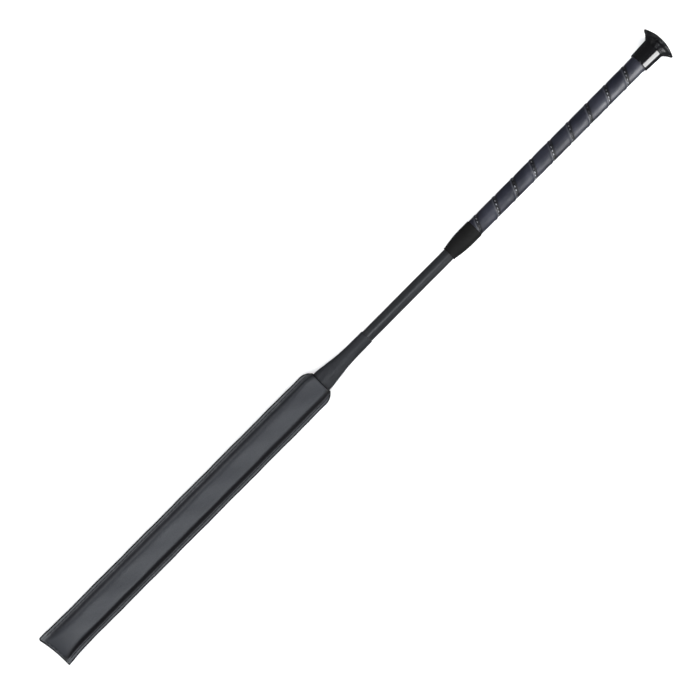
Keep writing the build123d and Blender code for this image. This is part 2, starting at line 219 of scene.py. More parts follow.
def waxed_thread(tree):
    lay = Shade.node(
        tree,
        "TexWave",
        {"bands_direction": "DIAGONAL"},
        {"Vector": place(tree), "Scale": 900.0, "Distortion": 1.5, "Detail": 2.0},
        output=1,
    )
    return {
        "Base Color": blend(tree, lay, (0.0035, 0.0035, 0.0045, 1), (0.012, 0.0125, 0.015, 1)),
        "Roughness": 0.45 + 0.20 * lay,
        "Normal": relief(tree, lay, 0.06 * mm),
    }


def woven_tape(tree):
    weave = Shade.node(
        tree,
        "TexBrick",
        {"offset": 0.5},
        {
            "Vector": place(tree),
            "Color1": (1, 1, 1, 1),
            "Color2": (0.7, 0.7, 0.7, 1),
            "Mortar": (0, 0, 0, 1),
            "Scale": 900.0,
        },
        output=1,
    )
    return {
        "Base Color": blend(tree, weave, (0.022, 0.022, 0.025, 1), (0.012, 0.012, 0.014, 1)),
        "Roughness": 0.75 + 0.10 * weave,
        "Normal": relief(tree, 1 - weave, 0.05 * mm),
    }


foam = finish("closed_foam", {"Specular IOR Level": 0.2}, closed_foam)
thread = finish("waxed_thread", {"Specular IOR Level": 0.3}, waxed_thread)
coat("shaft_padding", foam)
coat("grip_cushion", foam)
coat("cover_whipping", thread)
coat("grip_tape", finish("woven_tape", {}, woven_tape))

# Shaft cover. A smooth, thin sleeve of coated hide drawn over the foam while wet, so that it dries
# tight and takes faint lengthwise marks. One end is bound inside the neck and one ends in the bell.
shaft_low, shaft_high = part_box("shaft_cover")
axis_y = (shaft_low.y + shaft_high.y) / 2
axis_z = (shaft_low.z + shaft_high.z) / 2
shaft_radius = (shaft_high.z - shaft_low.z) / 2
shaft_wall = 0.75 * mm
shaft_wave = 0.035 * mm


def seated(name, points, faces, material, **marks):
    """Makes a smooth mesh piece on the crop, with any marks its finish reads at each point."""
    mesh = bpy.data.meshes.new(name)
    mesh.from_pydata([tuple(p) for p in points], [], [tuple(f) for f in faces])
    for mark, values in marks.items():
        mesh.attributes.new(mark, "FLOAT", "POINT").data.foreach_set(
            "value", np.asarray(values, dtype=np.float32)
        )
    mesh.materials.append(material)
    mesh.shade_smooth()
    mesh.update()
    piece = bpy.data.objects.new(name, mesh)
    bpy.context.scene.collection.objects.link(piece)
    return piece


def outward(points, faces):
    """Turns all faces over if they enclose a negative volume."""
    points = np.asarray(points)
    volume = 0.0
    for face in faces:
        a = points[face[0]]
        for i in range(1, len(face) - 1):
            volume += np.dot(a, np.cross(points[face[i]], points[face[i + 1]]))
    return faces if volume > 0 else [tuple(reversed(face)) for face in faces]


def band(rings, loop=False):
    """Points and faces of a skin over rings. Loop joins the last ring to the first, and otherwise
    a fan closes each end."""
    rings = np.asarray(rings)
    count, around = rings.shape[:2]
    points = rings.reshape(-1, 3)
    rows = np.arange(count if loop else count - 1)
    columns = np.arange(around)
    low = (rows[:, None] * around + columns).ravel()
    low_next = (rows[:, None] * around + (columns + 1) % around).ravel()
    high = (((rows + 1) % count)[:, None] * around + columns).ravel()
    high_next = (((rows + 1) % count)[:, None] * around + (columns + 1) % around).ravel()
    faces = np.stack([low, low_next, high_next, high], axis=1).tolist()
    if not loop:
        points = np.vstack([points, rings[0].mean(axis=0), rings[-1].mean(axis=0)])
        first, last = len(points) - 2, len(points) - 1
        end = (count - 1) * around
        for i in range(around):
            j = (i + 1) % around
            faces.append([first, j, i])
            faces.append([last, end + i, end + j])
    return points, outward(points, faces)


def turn(profile, steps, swell=None):
    """Rings of a turned piece. The profile is (x, radius) pairs, and swell adds to the radius."""
    angles = np.linspace(0, 2 * np.pi, steps, endpoint=False)
    profile = np.asarray(profile, dtype=float)
    x = profile[:, 0][:, None] + 0 * angles
    radius = profile[:, 1][:, None] + 0 * angles
    if swell is not None:
        radius = radius + swell(x, angles[None, :])
    return np.stack([x, axis_y + radius * np.cos(angles), axis_z + radius * np.sin(angles)], axis=2)


def fit(piece, slot, *nodes):
    """Sets a finished piece on the crop in place of the solids it stands for."""
    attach(piece, "root")
    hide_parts(*nodes)


def drawn_hide(tree):
    marks = mottle(tree, 90, detail=5, stretch=(0.35, 9, 9))
    pores = pebble(tree, 3000)
    cloud = mottle(tree, 55)
    tone = 0.5 * marks + 0.5 * cloud
    return {
        "Base Color": blend(tree, tone, (0.006, 0.0065, 0.0075, 1), (0.014, 0.015, 0.017, 1)),
        "Roughness": 0.27 + 0.14 * tone,
        "Normal": relief(tree, 0.6 * marks + 0.4 * pores, 0.05 * mm),
    }


def shaft_swell(x, angle):
    """Slight unevenness of the foam under the cover."""
    slow = np.sin(x / (9 * mm) + 1.3) * np.cos(angle + 0.7)
    quick = np.sin(x / (3.1 * mm) + 2 * angle) * 0.4
    return shaft_wave * (slow + quick)


shaft_x = np.linspace(shaft_low.x, shaft_high.x, 190)
shaft_outer = [(x, shaft_radius) for x in shaft_x]
shaft_inner = [(x, shaft_radius - shaft_wall) for x in reversed(shaft_x[::12])]
shaft = seated(
    "shaft_sleeve",
    *band(turn(shaft_outer + shaft_inner, 72, shaft_swell), loop=True),
    finish("drawn_hide", {"Specular IOR Level": 0.5}, drawn_hide),
)
fit(shaft, "shaft_cover", "shaft_cover")

# Neck. A collar of thin leather, skived and glued over a wedge of rubber so that it flares from the
# round shaft to the wider mouth of the pad. Its two edges lap in one seam along the back.
pad_low, pad_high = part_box("pad_face_front")
neck_low, neck_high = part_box("neck_cover")
tip_x = pad_low.x
mouth_x = pad_high.x
neck_round = 5.5 * mm
neck_flare_width = 2.95 * mm
neck_flare_height = 0.7 * mm
neck_flare_length = 18 * mm
neck_leather = 0.4 * mm
neck_tuck = 0.5 * mm
neck_tuck_length = 13 * mm
neck_lap = 0.28 * mm
neck_lap_edge, neck_lap_reach = 0.03, 0.22
neck_fold = 0.15 * mm
neck_ripple = 0.035 * mm
neck_steps = 96


def grain(tree):
    """Leather grain: pebbles of two sizes, broken up by soft creases."""
    small = pebble(tree, 1500)
    large = pebble(tree, 570)
    creases = mottle(tree, 260, detail=4)
    return 0.5 * small + 0.2 * large + 0.3 * creases


def skived_leather(tree):
    cloud = mottle(tree, 70, detail=4)
    return {
        "Base Color": blend(tree, cloud, (0.004, 0.0045, 0.006, 1), (0.012, 0.013, 0.016, 1)),
        "Roughness": 0.46 + 0.16 * cloud,
        "Normal": relief(tree, grain(tree), 0.10 * mm, 0.8),
    }


def neck_ring(x, inset):
    """One cross-section of the neck, oval at the pad and round at the shaft."""
    along = max(x - mouth_x, 0.0)
    fall = math.exp(-((along / neck_flare_length) ** 2))
    tuck = neck_tuck * max(mouth_x - x, 0.0) / neck_tuck_length
    angles = np.linspace(0, 2 * np.pi, neck_steps, endpoint=False)
    wide_folds = np.cos(7 * angles + 0.6)
    fine_folds = 0.6 * np.cos(12 * angles + along / mm / 3)
    folds = neck_fold * fall * (wide_folds + fine_folds)
    folds = folds + neck_ripple * np.sin(along / (1.9 * mm) + 1.7 * np.sin(angles + 0.4))
    from_back = np.angle(np.exp(1j * (angles + np.pi / 2)))
    lap = neck_lap / (1 + np.exp(-from_back / neck_lap_edge))
    lap = lap * np.exp(-((from_back / neck_lap_reach) ** 2))
    out = folds + lap - inset - tuck
    width = neck_round + neck_flare_width * fall + out
    height = neck_round + neck_flare_height * fall + out
    return np.stack(
        [0 * angles + x, axis_y + width * np.cos(angles), axis_z + height * np.sin(angles)], axis=1
    )


neck_x = np.linspace(neck_low.x, neck_high.x - 0.35 * mm, 120)
neck_rings = [neck_ring(x, 0.0) for x in neck_x]
neck_rings += [
    neck_ring(neck_high.x - 0.15 * mm, 0.06 * mm),
    neck_ring(neck_high.x, 0.20 * mm),
    neck_ring(neck_high.x, neck_leather),
]
neck_rings += [neck_ring(x, neck_leather) for x in reversed(neck_x[::8])]
neck = seated(
    "neck_collar",
    *band(neck_rings, loop=True),
    finish("skived_leather", {"Specular IOR Level": 0.45}, skived_leather),
)
fit(neck, "pad_leather", "neck_cover")

# Pad. Two leathers, wet-moulded over foam, are laid back to back with the rod between them and sewn
# along both sides and across the tip. The raw edges are trimmed together and painted. Shade is
# painted into the creases, more of it into the steeper right one.
leather = 1.1 * mm
half_width = 14.3 * mm
knife_drift = 0.09 * mm
knife_jitter = 0.05 * mm
tip_flare = 1.15 * mm
tip_flare_more = 0.45 * mm
tip_flare_length = 26 * mm
tip_corner = 1.4 * mm
tip_corner_more = 0.6 * mm
tip_hollow = 0.9 * mm
tip_slant = 2.6 * mm
shoulder = 9.5 * mm
mouth_half_width = 9.6 * mm
side_margin = 3.6 * mm
tip_margin = 2.3 * mm
least_margin = 0.05 * mm
right_flank = 4.3 * mm
left_flank = 7.2 * mm
flank_ease = 25 * mm
tip_ramp = 32 * mm
crown_rise = 6.15 * mm
crown_dome = 0.35 * mm
mouth_lip = 1.8 * mm
mouth_roll = 1.1 * mm
edge_bead = 0.5 * mm
edge_thickness = 0.12 * mm
skew_length = 30 * mm
stitch_pitch = 4.0 * mm
side_row_inset = 2.6 * mm
side_row_start = 7 * mm
groove_start = 5 * mm
groove_fade = 2 * mm
tip_row_inset = 2.2 * mm
groove_depth = 0.32 * mm
groove_half_width = 0.34 * mm
groove_ripple = 0.10 * mm
pucker = 0.11 * mm
pucker_inset = 0.8 * mm
pucker_reach = 1.1 * mm
# Shares of painted shade in the creases, on the left and on the right.
left_crease_shade, right_crease_shade = 0.35, 0.95
crown_wave = 0.24 * mm
wave_phases = np.random.default_rng(41).uniform(0, 2 * np.pi, 5)


def bulge(t):
    """A moulded flank: a small hollow at its foot, then steep, then easing onto the crown."""
    t = np.clip(t, 0, 1)
    foot = np.clip(t / 0.12, 0, 1)
    return (1 - (1 - t) ** 3.0) ** 0.75 * (0.25 + 0.75 * foot * foot * (3 - 2 * foot)) ** 0.5


def shoulder_drop(x, drop):
    """How far a side has curved in at the shoulders, on an arc that falls by drop at the mouth."""
    t = np.clip(shoulder - (mouth_x - x), 0, shoulder)
    radius = (shoulder**2 + drop**2) / (2 * drop)
    return radius - np.sqrt(radius**2 - t**2)


def tip_spread(x, side):
    """How far a side flares out towards the tip. The knife left more on the right, side -1."""
    near_tip = np.clip(1 - (x - tip_x) / tip_flare_length, 0, 1)
    return (tip_flare - tip_flare_more * side) * near_tip**2


def pad_half_width(x, side):
    """The distance from the middle to one side's edge, trimmed a little unevenly by the knife."""
    cut = tip_corner + tip_corner_more * side
    corner = cut - np.sqrt(cut**2 - np.clip(cut - (x - tip_x), 0, cut) ** 2)
    trim = knife_drift * np.sin(x / (7.4 * mm) + wave_phases[0])
    trim += knife_jitter * np.sin(x / (2.9 * mm) + wave_phases[1])
    drop = shoulder_drop(x, half_width - mouth_half_width)
    return half_width + tip_spread(x, side) - corner + trim - drop


def pad_margin(x, side):
    """The width of the flat sewn margin, which runs out at the mouth."""
    crown = half_width - side_margin
    left = pad_half_width(x, side) - (crown - shoulder_drop(x, crown - mouth_half_width))
    return np.maximum(left - tip_spread(x, side), least_margin)


def crown_height(x, inside, y):
    """How far the crown stands above the margin, inside metres in from its foot."""
    ramp = 1 - (1 - np.clip((x - tip_x - tip_margin) / tip_ramp, 0, 1)) ** 1.9
    dome = crown_dome * (1 - (y / half_width) ** 2)
    lip = np.clip(1 - (mouth_x - x) / mouth_lip, 0, 1)
    pinch = mouth_roll * (1 - np.sqrt(1 - lip**2))
    waves = np.sin(x / (17 * mm) + wave_phases[2]) * np.cos(y / (6 * mm) + wave_phases[3])
    waves = waves + 0.6 * np.sin(x / (6.3 * mm) + wave_phases[4] + y / (4 * mm))
    eased = np.clip((mouth_x - shoulder - x) / flank_ease, 0, 1)
    flank = right_flank + (left_flank - right_flank) * (y > 0) * eased
    return bulge(inside / flank) * ramp * (crown_rise + dome - pinch + crown_wave * waves)


def tip_skew(lean, settle):
    """How far a point moves along the crop, as the tip is cut hollow and on a slant. Lean is its
    place across the pad, from -1 to 1, and settle is 1 at the tip and falls to 0 behind it."""
    return (tip_hollow * (1 - lean**2) + tip_slant * (0.5 - 0.5 * lean)) * settle


def tip_settle(x):
    """The share of the tip's skew that is left at x."""
    return np.clip(1 - (x - tip_x) / skew_length, 0, 1) ** 2


def pad_grid(lengthwise, across):
    """For every point of a grid on the pad: x before and after the tip's skew, y, the distance in
    from the edge, and the width of the margin."""
    x = np.repeat(lengthwise[:, None], len(across), axis=1)
    side = np.sign(across)[None, :]
    width = pad_half_width(x, side)
    margin = pad_margin(x, side)
    share = 1 - np.abs(across)[None, :]
    nominal = share * half_width
    on_margin = nominal / side_margin * margin
    on_crown = margin + (nominal - side_margin) / (half_width - side_margin) * (width - margin)
    inward = np.where(nominal < side_margin, on_margin, on_crown)
    y = side * (width - inward)
    return x, x + tip_skew(y / width, tip_settle(x)), y, inward, margin


def spread(*stops):
    """Distances in from the edge, in millimetres, as shares of the half width, edge to edge."""
    share = 1 - np.array(stops) * mm / half_width
    return np.concatenate([share, [0.0], -share[::-1]])


def shell(outer, inner):
    """A thick sheet between two grids of the same size, closed all round."""
    rows, columns = outer.shape[:2]
    points = np.vstack([outer.reshape(-1, 3), inner.reshape(-1, 3)])
    index = np.arange(rows * columns).reshape(rows, columns)
    a, b, c, d = index[:-1, :-1], index[:-1, 1:], index[1:, 1:], index[1:, :-1]
    top = np.stack([a, b, c, d], axis=2).reshape(-1, 4)
    under = top[:, ::-1] + rows * columns
    rim = np.concatenate([index[0, :], index[1:, -1], index[-1, -2::-1], index[-2:0:-1, 0]])
    after = np.roll(rim, -1)
    wall = np.stack([after, rim, rim + rows * columns, after + rows * columns], axis=1)
    return points, outward(points, np.vstack([top, under, wall]).tolist())


pad_x = np.unique(
    np.concatenate(
        [
            tip_x + np.array([0.0, 0.1, 0.25, 0.45, 0.7, 1.0]) * mm,
            np.arange(tip_x + 1.4 * mm, mouth_x - 1.4 * mm, 0.5 * mm),
            mouth_x - np.array([1.3, 1.1, 0.9, 0.7, 0.5, 0.35, 0.2, 0.1, 0.04, 0.0]) * mm,
        ]
    )
)
pad_across = spread(
    0.0, 0.1, 0.25, 0.45, 0.8, 1.3, 1.8, 2.1, 2.3, 2.45, 2.6, 2.75, 2.9, 3.1, 3.3, 3.5,
    3.7, 3.9, 4.15, 4.45, 4.8, 5.2, 5.7, 6.3, 7.0, 7.9, 9.0, 10.3, 11.8, 13.2,
)  # fmt: skip


def stitch_ripple(x):
    """1 midway along each stitch and -1 at the holes between stitches."""
    return np.cos(2 * np.pi * (x - tip_x - side_row_start) / stitch_pitch)


def leather_height(x, y, inward, margin):
    """The height of one leather's outer face over the plane between the two leathers."""
    bead = np.clip(inward / edge_bead, 0, 1)
    edge = edge_thickness + (leather - edge_thickness) * np.sqrt(1 - (1 - bead) ** 2)
    edge = np.where(margin < edge_bead, leather, edge)
    line = side_row_inset / side_margin * margin
    near = np.exp(-(((inward - line) / groove_half_width) ** 2)) * (margin > 1.2 * mm)
    sewn = np.clip((x - tip_x - groove_start) / groove_fade, 0, 1)
    groove = near * (groove_depth - groove_ripple * stitch_ripple(x)) * sewn
    tip_line = np.exp(-(((x - tip_x - tip_row_inset) / groove_half_width) ** 2))
    tip_ripple = np.cos(2 * np.pi * y / stitch_pitch)
    groove = groove + tip_line * (groove_depth - groove_ripple * tip_ripple) * (inward > line)
    on_foot = np.exp(-(((inward - margin - pucker_inset) / pucker_reach) ** 2))
    draw = pucker * on_foot * stitch_ripple(x) * sewn
    crown = crown_height(x, inward - margin, y)
    return edge - groove + np.where(inward > margin, crown, 0) + draw


def pad_leather_grids(side):
    """The outer and inner grids of the front leather (side 1) or the back leather (side -1), and
    for each point its distance in from the edge and the width of the margin."""
    flat_x, x, y, inward, margin = pad_grid(pad_x, pad_across)
    height = leather_height(flat_x, y, inward, margin)
    under = crown_height(flat_x, inward - margin - leather, y)
    under = np.where(inward > margin + leather, under, 0)
    outer = np.stack([x, axis_y + y, axis_z + side * height], axis=2)
    inner = np.stack([x, axis_y + y, axis_z + side * under], axis=2)
    return outer, inner, inward, margin


def moulded_leather(tree):
    from_edge = Shade.node(tree, "Attribute", {"attribute_name": "from_edge"}, output=2)
    from_seam = Shade.node(tree, "Attribute", {"attribute_name": "from_seam"}, output=2)
    waxed = Shade.node(tree, "Attribute", {"attribute_name": "waxed"}, output=2)
    streaks = mottle(tree, 40, detail=5, stretch=(0.18, 5, 5))
    cloud = 0.5 * mottle(tree, 38, detail=4) + 0.5 * mottle(tree, 150, detail=3)
    rubbed = step(tree, mottle(tree, 130, detail=4), 0.48, 0.72)
    hide = blend(
        tree, 0.55 * streaks + 0.45 * cloud, (0.004, 0.0045, 0.006, 1), (0.018, 0.0195, 0.025, 1)
    )
    # The flat margin is painted lighter: half evenly, as painted light, and half by rubbed wear.
    margin = 1 - step(tree, from_seam, 0.2, 1.6)
    marks_and_painted_light = blend(tree, margin * (0.5 + 0.5 * rubbed), hide, (0.050, 0.052, 0.056, 1))
    # Painted shade: a dark band along the stitch groove.
    groove_shade = step(tree, from_seam, -1.35, -1.05) * (1 - step(tree, from_seam, -0.75, -0.45))
    # Painted shade: the crease at the foot of the crown is darkened, more on the right.
    crease_shade = step(tree, from_seam, -0.35, 0.25) * (1 - step(tree, from_seam, 1.9, 5.0)) * waxed
    marks_and_painted_light = blend(tree, 0.8 * groove_shade, marks_and_painted_light, (0.002, 0.002, 0.003, 1))
    marks_and_painted_light = blend(tree, crease_shade, marks_and_painted_light, (0.0015, 0.0015, 0.0022, 1))
    edge_paint = {
        "Base Color": (0.0025, 0.0025, 0.003, 1),
        "Roughness": 0.6,
        "Specular IOR Level": 0.15,
    }
    return {
        "Base Color": marks_and_painted_light,
        "Roughness": 0.32 + 0.16 * cloud + 0.12 * streaks,
        "Normal": relief(tree, grain(tree), 0.11 * mm, 0.8),
        "over": (1 - step(tree, from_edge, 0.85, 1.15), edge_paint),
    }


pad_leather = finish("moulded_leather", {"Specular IOR Level": 0.5}, moulded_leather)
for side, name, node in (
    (1, "front_leather", "pad_face_front"),
    (-1, "back_leather", "pad_face_back"),
):
    outer, inner, inward, margin = pad_leather_grids(side)
    points, faces = shell(outer, inner)
    ends = np.minimum(pad_x - tip_x, mouth_x - pad_x + 0.3 * mm)
    edge_mark = np.minimum(inward, ends[:, None]) / mm
    seam_mark = (inward - margin) / mm
    # How much painted shade each point's crease gets, by side.
    crease_shade_marks = np.where(outer[:, :, 1] > axis_y, left_crease_shade, right_crease_shade)
    piece = seated(
        name,
        points,
        faces,
        pad_leather,
        from_edge=np.tile(edge_mark.ravel(), 2),
        from_seam=np.tile(seam_mark.ravel(), 2),
        waxed=np.tile(crease_shade_marks.ravel(), 2),
    )
    fit(piece, "pad_leather", node)

# Pad foam. A strip of closed-cell foam fills each moulded crown and beds the rod. It is cut a
# little small, so that the leather and not the foam sets the pad's shape.
foam_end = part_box("pad_cushion_front")[1].x
foam_slack = 0.12 * mm
foam_floor = 0.1 * mm
for side, name, node in (
    (1, "front_foam", "pad_cushion_front"),
    (-1, "back_foam", "pad_cushion_back"),
):
    rows = np.linspace(tip_x + tip_margin + 2 * mm, foam_end, 130)
    flat_x, x, y, inward, margin = pad_grid(rows, spread(4.9, 5.3, 5.9, 6.8, 8.0, 9.6, 11.6, 13.2))
    top = crown_height(flat_x, inward - margin - leather, y) - foam_slack
    top = np.maximum(top, 2 * foam_floor)
    outer = np.stack([x, axis_y + y, axis_z + side * top], axis=2)
    inner = np.stack([x, axis_y + y, axis_z + side * foam_floor + 0 * top], axis=2)
    piece = seated(name, *shell(outer, inner), foam)
    fit(piece, "foam", node)

# Pad stitching. Saddle stitch in waxed black thread, six or so to the inch, is pulled down into a
# pricked line. Each stitch is laid on its own, and its two ends dive into their holes.
stitch_length = 3.1 * mm
stitch_radius = 0.30 * mm
stitch_height = leather - groove_depth + 0.13 * mm


def stitches(name, spots, radius, length, material):
    """Lays one plump stitch at each spot, which gives its centre, its direction and its up."""
    rings, sides = 9, 10
    t = np.linspace(-1, 1, rings)
    girth = np.sqrt(np.clip(1 - np.abs(t) ** 3.2, 0.02, 1))
    dive = -np.abs(t) ** 3 * 1.1
    angles = np.linspace(0, 2 * np.pi, sides, endpoint=False)
    points, faces = [], []
    for centre, ahead, up in spots:
        centre, ahead, up = (np.asarray(v, dtype=float) for v in (centre, ahead, up))
        side = np.cross(up, ahead)
        body = [
            centre
            + ahead * (t[i] * length / 2)
            + up * (radius * (dive[i] + girth[i] * math.cos(angle) * 0.8))
            + side * (radius * girth[i] * math.sin(angle) * 1.15)
            for i in range(rings)
            for angle in angles
        ]
        part, part_faces = band(np.array(body).reshape(rings, sides, 3))
        faces += [[i + len(points) for i in face] for face in part_faces]
        points += part.tolist()
    return seated(name, points, faces, material)


row_start = tip_x + side_row_start
row_length = mouth_x - row_start - shoulder - 1 * mm
row_x = row_start + stitch_pitch * np.arange(int(row_length / stitch_pitch) + 1)
for y_sign, name, node in (
    (1, "left_stitches", "pad_stitching_left"),
    (-1, "right_stitches", "pad_stitching_right"),
):
    width = pad_half_width(row_x, y_sign)
    row_y = y_sign * (width - side_row_inset * pad_margin(row_x, y_sign) / side_margin)
    spots = []
    for x, y in zip(row_x + tip_skew(row_y / width, tip_settle(row_x)), row_y):
        for side in (1, -1):
            slant = 0.10 * y_sign * side
            centre = (x, axis_y + y, axis_z + side * stitch_height)
            spots.append((centre, (math.cos(slant), math.sin(slant), 0), (0, 0, side)))
    fit(stitches(name, spots, stitch_radius, stitch_length, thread), "thread", node)

tip_row_x = tip_x + tip_row_inset
tip_row_settle = 0.86
spots = []
for y in stitch_pitch * np.arange(-2, 3):
    x = tip_row_x + tip_skew(y / half_width, tip_row_settle)
    for side in (1, -1):
        centre = (x, axis_y + y, axis_z + side * stitch_height)
        spots.append((centre, (-0.08, 0.99, 0), (0, 0, side)))
tip_row = stitches("tip_stitches", spots, stitch_radius, stitch_length, thread)
fit(tip_row, "thread", "pad_stitching_tip")

# Bell. One moulding of matte black rubber, pushed up the shaft until its lip covers the end of the
# grip strip. A thin bead closes its nose, and a faint parting line runs along both sides.
bell_low, bell_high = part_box("bell_ferrule")
bell_radius = 7.36 * mm
bell_swell = 1.72 * mm
bell_full = 17.0
bell_reach = 16 * mm
bell_bore = 6.70 * mm
bell_throat = 5.10 * mm
parting_line = 0.07 * mm


def matte_rubber(tree):
    bloom = mottle(tree, 160, detail=4)
    spark = mottle(tree, 4200, detail=2)
    return {
        "Base Color": blend(tree, bloom, (0.003, 0.003, 0.003, 1), (0.0065, 0.0065, 0.0065, 1)),
        "Roughness": 0.55 + 0.18 * bloom,
        "Normal": relief(tree, 0.7 * spark + 0.3 * bloom, 0.05 * mm),
    }


def bell_parting(x, angle):
    """The raised line where the two halves of the mould met."""
    to_side = np.minimum(np.abs(np.sin(angle)), 1)
    fade = np.clip((x - bell_low.x - 2 * mm) / (2 * mm), 0, 1)
    fade = fade * np.clip((bell_high.x - x - 0.6 * mm) / (1 * mm), 0, 1)
    return parting_line * np.exp(-((to_side / 0.028) ** 2)) * fade


bell_profile = [
    (0.0, 5.10), (0.0, 5.50), (0.15, 5.72), (0.45, 5.86), (0.75, 5.80), (0.95, 5.62), (1.15, 5.58),
]  # fmt: skip
bell_profile = [(bell_low.x + x * mm, r * mm) for x, r in bell_profile]
for x in np.linspace(1.5, 26.6, 64):
    share = max(bell_full - x, 0.0) * mm / bell_reach
    bell_profile.append((bell_low.x + x * mm, bell_radius - bell_swell * share**1.6))
bell_profile += [
    (bell_high.x - 0.6 * mm, bell_radius),
    (bell_high.x - 0.25 * mm, bell_radius - 0.06 * mm),
    (bell_high.x - 0.05 * mm, bell_radius - 0.22 * mm),
    (bell_high.x, bell_radius - 0.36 * mm),
    (bell_high.x - 0.15 * mm, 6.80 * mm),
    (bell_high.x - 1.2 * mm, bell_bore),
    (bell_high.x - 7.9 * mm, bell_bore),
    (bell_high.x - 8.1 * mm, bell_throat),
]
bell = seated(
    "rubber_bell",
    *band(turn(bell_profile, 180, bell_parting), loop=True),
    finish("matte_rubber", {"Specular IOR Level": 0.12}, matte_rubber),
)
fit(bell, "bell", "bell_ferrule")

# Grip strip. A long strip of grained, slightly tacky rubberised cloth is wound in one spiral over
# thin foam. One edge is rolled into a ridge, and beside it a sewn channel holds a row of stitches.
# The channel and the lap next to it are painted dark, as shade.
grip_low, grip_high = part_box("grip_wrap")
sleeve_low, sleeve_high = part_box("cap_sleeve")
strip_pitch = 19.65 * mm
first_ridge = 1.6 * mm
strip_top = 6.85 * mm
strip_pressed = 6.62 * mm
bell_cover = 0.2 * mm
tape_start = sleeve_low.x + 6.0 * mm
end_squeeze = 0.01
turn_steps = 96
strip_section = [
    (-17.05, -0.60), (-17.05, -0.30), (-16.95, -0.12), (-16.75, -0.03), (-16.3, 0.0),
    (-15.0, 0.03), (-13.0, 0.06), (-10.5, 0.08), (-8.0, 0.08), (-5.5, 0.06), (-3.6, 0.03),
    (-2.2, 0.0), (-1.5, 0.02), (-1.15, 0.10), (-0.9, 0.21), (-0.6, 0.29), (-0.25, 0.32),
    (0.1, 0.29), (0.35, 0.19), (0.5, 0.04), (0.62, -0.16), (0.78, -0.32), (1.05, -0.38),
    (1.6, -0.39), (2.15, -0.38), (2.4, -0.35), (2.52, -0.45), (2.52, -0.60),
]  # fmt: skip


def crest(x):
    """How far round the crop the ridge has gone at x, as an angle."""
    return 2 * math.pi * (x - bell_high.x - first_ridge) / strip_pitch


def strip_point(at, offset, rise):
    """A point of the strip's section, where its ridge has come to x = at along the crop. The offset
    from the ridge and the rise over the strip's top are in millimetres."""
    x = at + offset * mm
    radius = strip_top + rise * mm
    if x < bell_high.x - bell_cover or x > tape_start:
        radius = min(radius, strip_pressed)
    start, end = grip_low.x, grip_high.x
    if x < start:
        x = start - (start - x) * end_squeeze
    if x > end:
        x = end + (x - end) * end_squeeze
    angle = math.pi / 2 - crest(at)
    return x, axis_y + radius * math.cos(angle), axis_z + radius * math.sin(angle)


def tacky_strip(tree):
    skin = mottle(tree, 190, detail=5)
    nap = pebble(tree, 2300)
    handled = step(tree, mottle(tree, 45, detail=3), 0.40, 0.68)
    crest_mark = Shade.node(tree, "Attribute", {"attribute_name": "crest_mark"}, output=2)
    lap_mark = Shade.node(tree, "Attribute", {"attribute_name": "lap_mark"}, output=2)
    body = blend(tree, skin, (0.003, 0.0033, 0.0070, 1), (0.009, 0.010, 0.018, 1))
    rubbed = blend(tree, 0.35 * handled, body, (0.030, 0.032, 0.045, 1))
    # Painted highlight: the crest of the ridge is lighter.
    edge = blend(tree, step(tree, crest_mark, 0.20, 0.32), rubbed, (0.030, 0.032, 0.040, 1))
    # Painted shade: the channel and the lap beside it are darkened.
    channel_shade_mask = (1 - step(tree, lap_mark, -16.6, -15.2)) + step(tree, lap_mark, 0.2, 0.5)
    channel_shade = channel_shade_mask * (0.55 + 0.45 * step(tree, skin, 0.35, 0.6))
    return {
        "Base Color": blend(tree, channel_shade, edge, (0.0012, 0.0012, 0.0020, 1)),
        "Roughness": 0.36 + 0.16 * skin - 0.06 * handled,
        "Normal": relief(tree, 0.55 * nap + 0.45 * skin, 0.10 * mm),
    }


strip_start = bell_high.x - 9 * mm
strip_end = sleeve_high.x + 2 * mm
turns = (strip_end - strip_start) / strip_pitch
ats = np.linspace(strip_start, strip_end, int(turns * turn_steps))
strip_rings = [[strip_point(at, offset, rise) for offset, rise in strip_section] for at in ats]
ridge_marks = np.tile([rise for _, rise in strip_section], len(ats))
lap_marks = np.tile([offset for offset, _ in strip_section], len(ats))
points, faces = band(strip_rings)
strip = seated(
    "wound_strip",
    points,
    faces,
    finish("tacky_strip", {"Specular IOR Level": 0.5}, tacky_strip),
    crest_mark=np.concatenate([ridge_marks, [0.0, 0.0]]),
    lap_mark=np.concatenate([lap_marks, [0.0, 0.0]]),
)
fit(strip, "grip_strip", "grip_wrap")

# Grip stitching. Short stitches of pale grey thread sit in the strip's channel all the way round.
# Some of them, at random, are nearly black, and the others catch the light as dots.
dot_pitch = 3.0 * mm
dot_length = 1.7 * mm
dot_radius = 0.31 * mm
dot_offset = 1.6
dot_rise = -0.28
turn_length = math.hypot(strip_pitch, 2 * math.pi * (strip_top - 0.3 * mm))


def pale_thread(tree):
    lay = mottle(tree, 2400, detail=2)
    darker_at_random = step(tree, mottle(tree, 170, detail=2), 0.42, 0.56)
    pale_tone = blend(tree, lay, (0.10, 0.105, 0.12, 1), (0.34, 0.35, 0.38, 1))
    return {
        "Base Color": blend(tree, darker_at_random, pale_tone, (0.008, 0.008, 0.012, 1)),
        "Roughness": 0.28 + 0.16 * lay,
        "Normal": relief(tree, lay, 0.06 * mm),
    }


